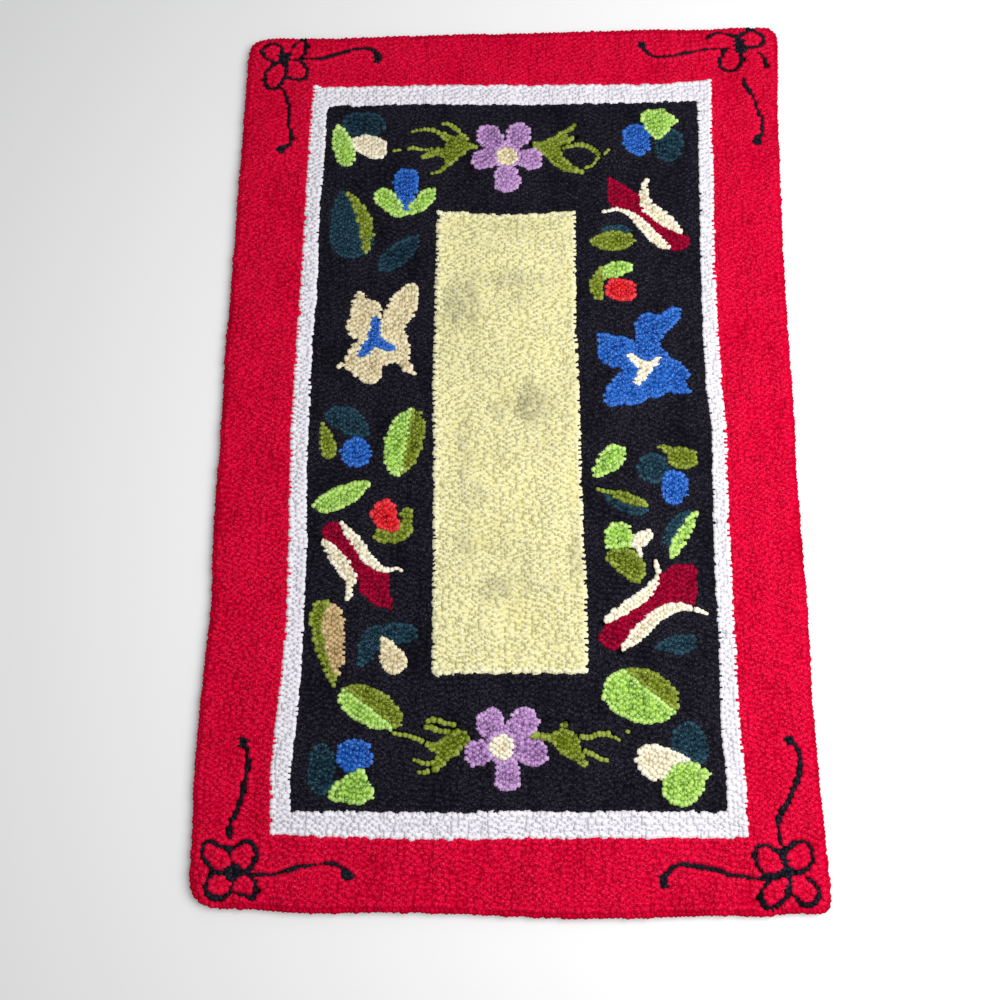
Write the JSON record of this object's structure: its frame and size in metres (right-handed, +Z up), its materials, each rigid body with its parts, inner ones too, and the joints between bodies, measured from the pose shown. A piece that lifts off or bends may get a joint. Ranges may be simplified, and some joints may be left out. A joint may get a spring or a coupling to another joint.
{
  "type": "needlepoint rug",
  "caption": "Flat rectangular hooked pile rug with rounded corners, a plain centre panel, scattered flowers and leaves, and a banded border.",
  "frame": {"origin": "on the underside, at the centre of the rug's outline box", "axes": "+Z up through the pile, +Y along the rug's length towards its far end, +X across its width"},
  "size_m": [0.61, 0.95, 0.01],
  "materials": {
    "red_yarn": "wool loop pile, matt",
    "black_yarn": "wool loop pile, matt",
    "white_yarn": "wool loop pile, matt",
    "butter_yarn": "wool loop pile, matt, softly soiled",
    "motif_yarn": "wool loop pile in several dyed colours, matt",
    "backing_cloth": "plain woven jute cloth with flat yarn stitches"
  },
  "bodies": {
    "root": {"rug": "red_yarn"}
  },
  "joints": []
}
